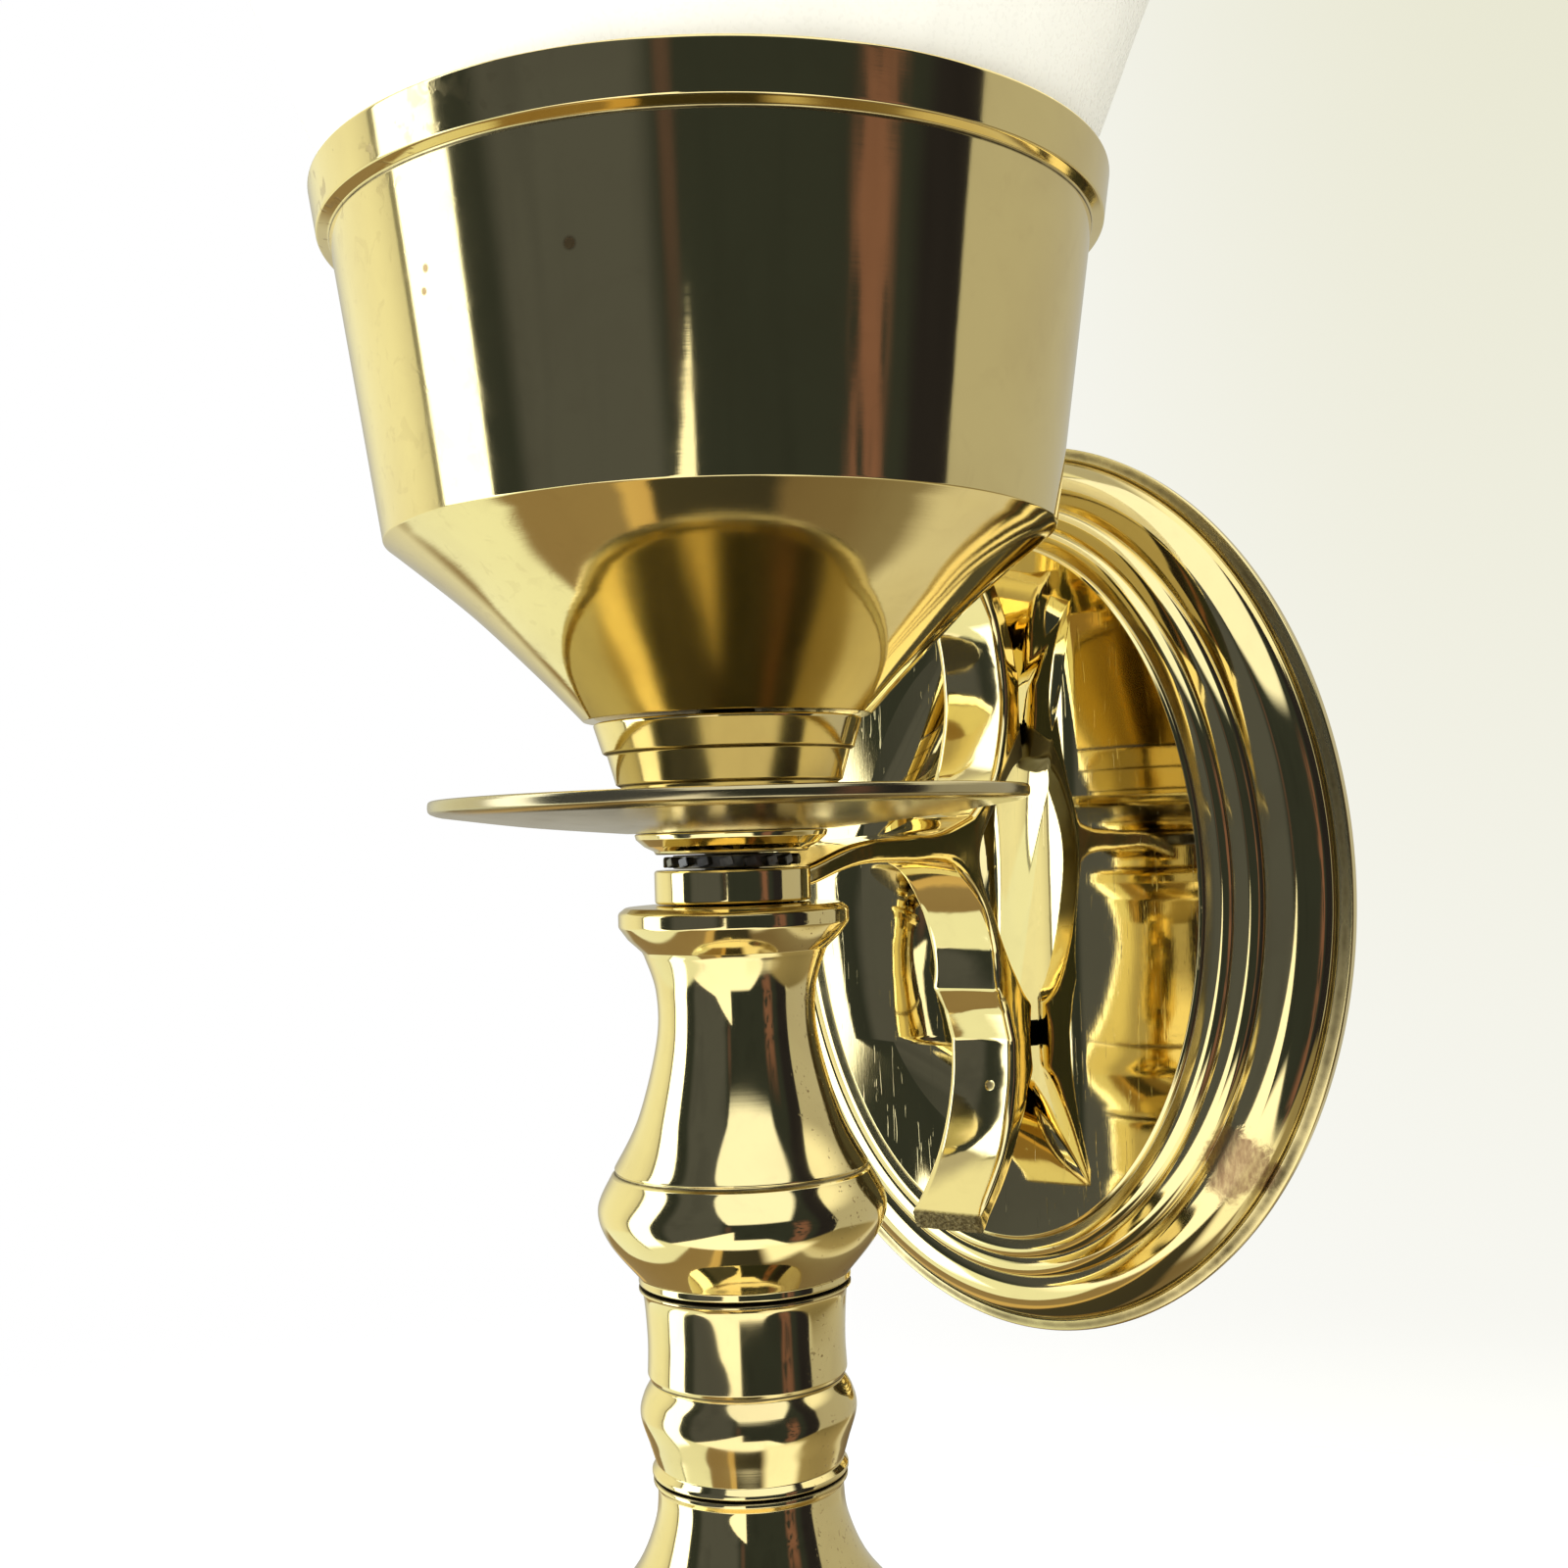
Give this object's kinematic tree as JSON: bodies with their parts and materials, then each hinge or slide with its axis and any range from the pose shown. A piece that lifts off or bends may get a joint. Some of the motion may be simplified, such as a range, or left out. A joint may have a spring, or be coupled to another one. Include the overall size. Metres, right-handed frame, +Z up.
{
  "type": "wall sconce candle holder",
  "caption": "Brass wall sconce: oval plate, wishbone bracket and a turned candlestick whose cup holds a candle socket and an opal glass hurricane shade.",
  "frame": {"origin": "centre of the wall side, on the hanger strap's back face, which lies in the wall's plane", "axes": "+Y into the wall, -Y out into the room, +Z up, +X to the right as seen from the room"},
  "size_m": [0.112, 0.132, 0.342],
  "materials": {
    "polished_brass": "polished, lightly tarnished",
    "dark_steel": "dull, darkened",
    "opal_glass": "opal white, satin",
    "felt": "pressed felt"
  },
  "bodies": {
    "wall_bracket": {"wall_plate": "polished_brass", "hanger_strap": "dark_steel", "upper_foot_screw": "dark_steel", "lower_foot_screw": "dark_steel", "upper_foot_washer": "dark_steel", "lower_foot_washer": "dark_steel", "bracket_arm": "polished_brass"},
    "candlestick": {"cup": "polished_brass", "shade_seat_felt": "felt", "candle_socket": "polished_brass", "cup_nut": "dark_steel", "cup_washer": "dark_steel", "stepped_neck": "polished_brass", "drip_pan": "polished_brass", "pan_hub": "polished_brass", "eye_lock_washer": "dark_steel", "centre_rod": "dark_steel", "upper_baluster": "polished_brass", "middle_spindle": "polished_brass", "trumpet_foot": "polished_brass", "foot_cap": "polished_brass", "finial": "polished_brass"},
    "shade": {"glass_shade": "opal_glass"}
  },
  "joints": [
    {"name": "candlestick_turn", "type": "hinge", "parent": "wall_bracket", "child": "candlestick", "pos_m": [0, -0.076, 0.003], "axis": [0, 0, 1], "continuous": true},
    {"name": "shade_lift", "type": "slide", "parent": "candlestick", "child": "shade", "axis": [0, 0, 1], "range_m": [0, 0.06]}
  ]
}
